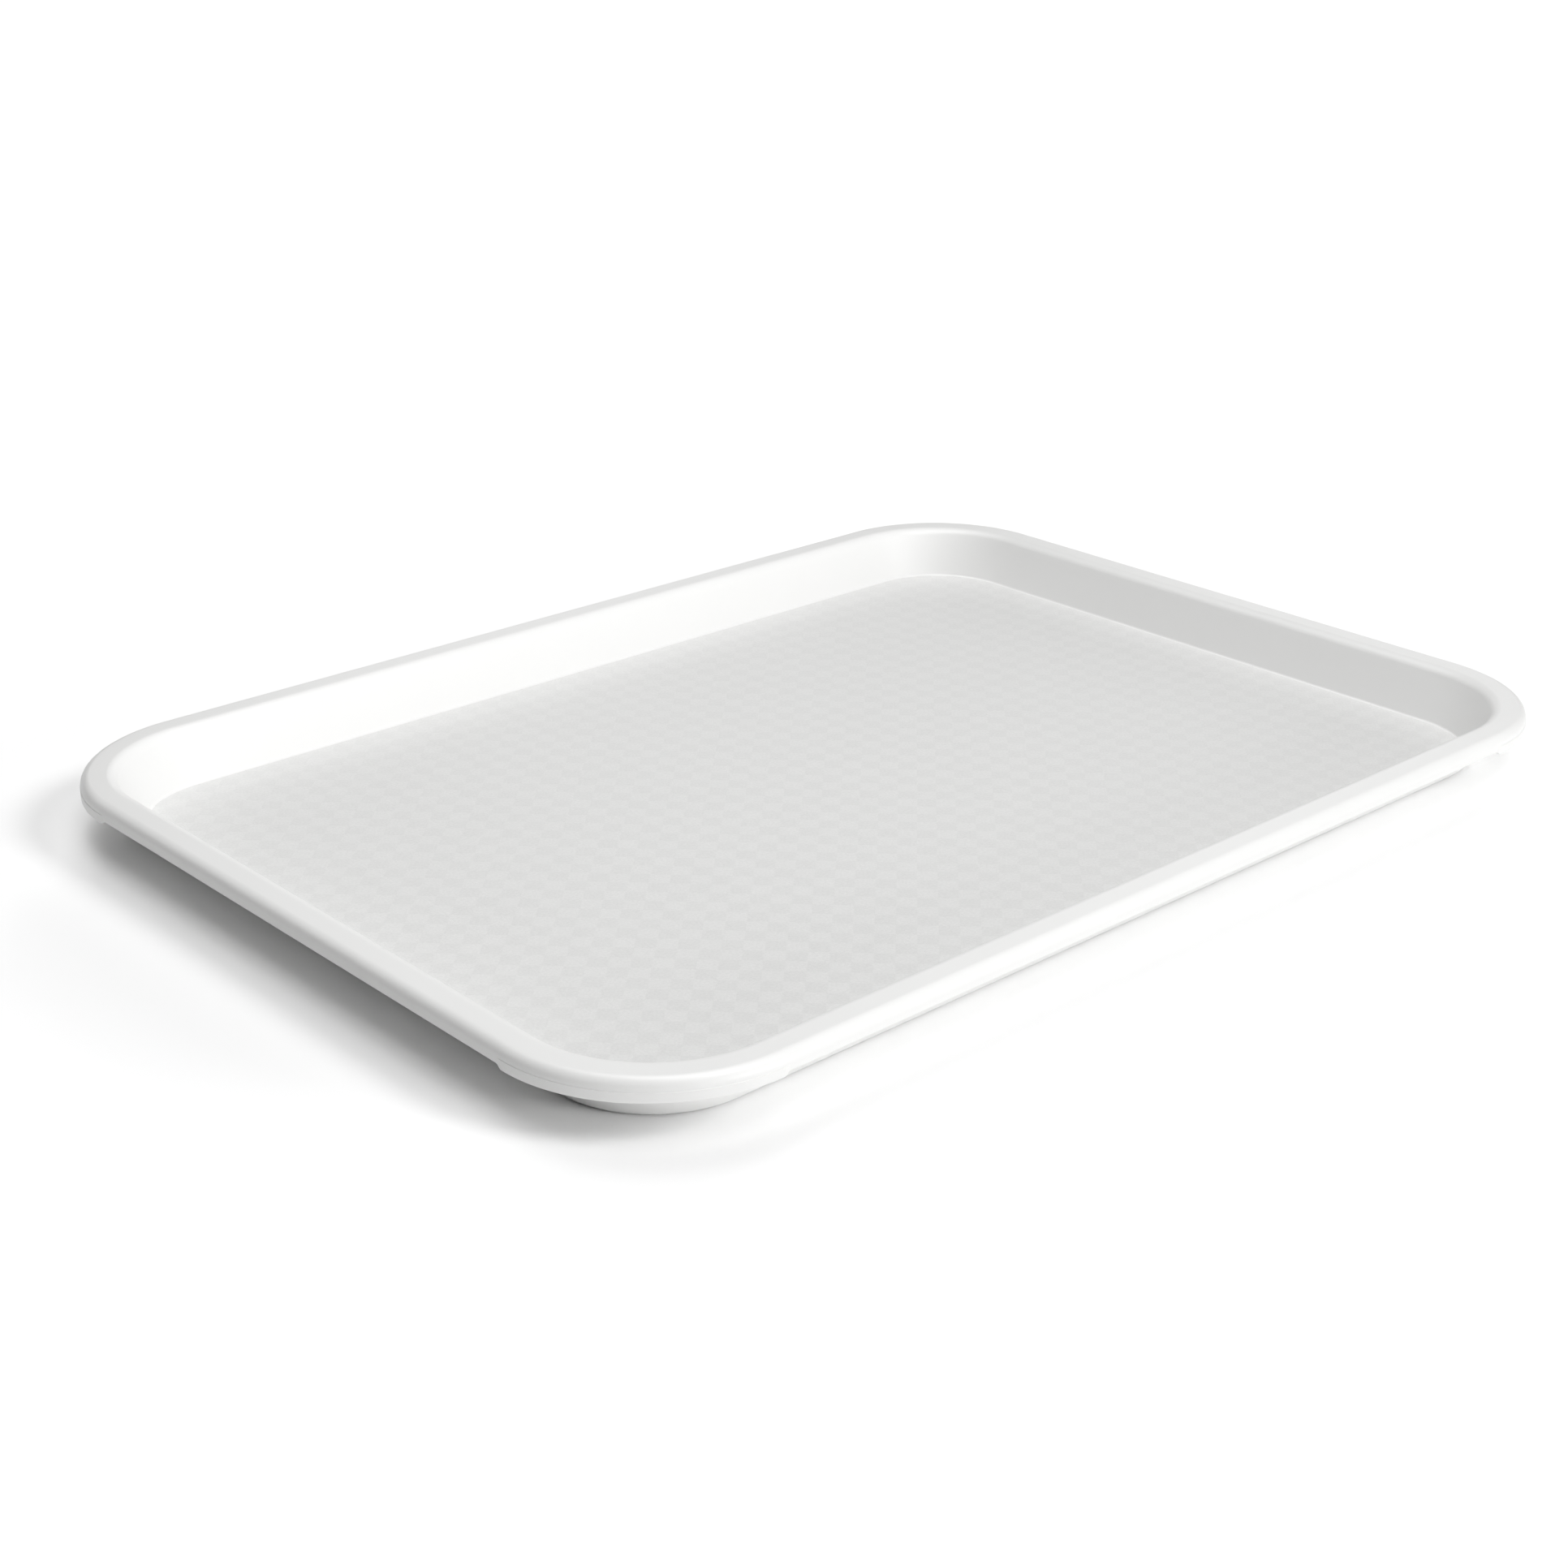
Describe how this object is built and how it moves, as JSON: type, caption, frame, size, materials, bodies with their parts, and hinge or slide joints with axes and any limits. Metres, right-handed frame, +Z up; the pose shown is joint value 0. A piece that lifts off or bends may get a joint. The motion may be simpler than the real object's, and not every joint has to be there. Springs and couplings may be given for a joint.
{
  "type": "serving tray",
  "caption": "Rectangular one-piece moulded serving tray with a flat textured floor, sloping walls, a rolled rim and stacking lugs under the corners.",
  "frame": {"origin": "centre of the footprint, on the plane of the table that the tray stands on", "axes": "+X along the long side, +Y along the short side, +Z up out of the well"},
  "size_m": [0.415, 0.305, 0.02],
  "materials": {
    "moulded_polypropylene": "white, satin on the rim and walls, fine grained with a low woven relief on the floor"
  },
  "bodies": {
    "root": {"tray": "moulded_polypropylene"}
  },
  "joints": []
}
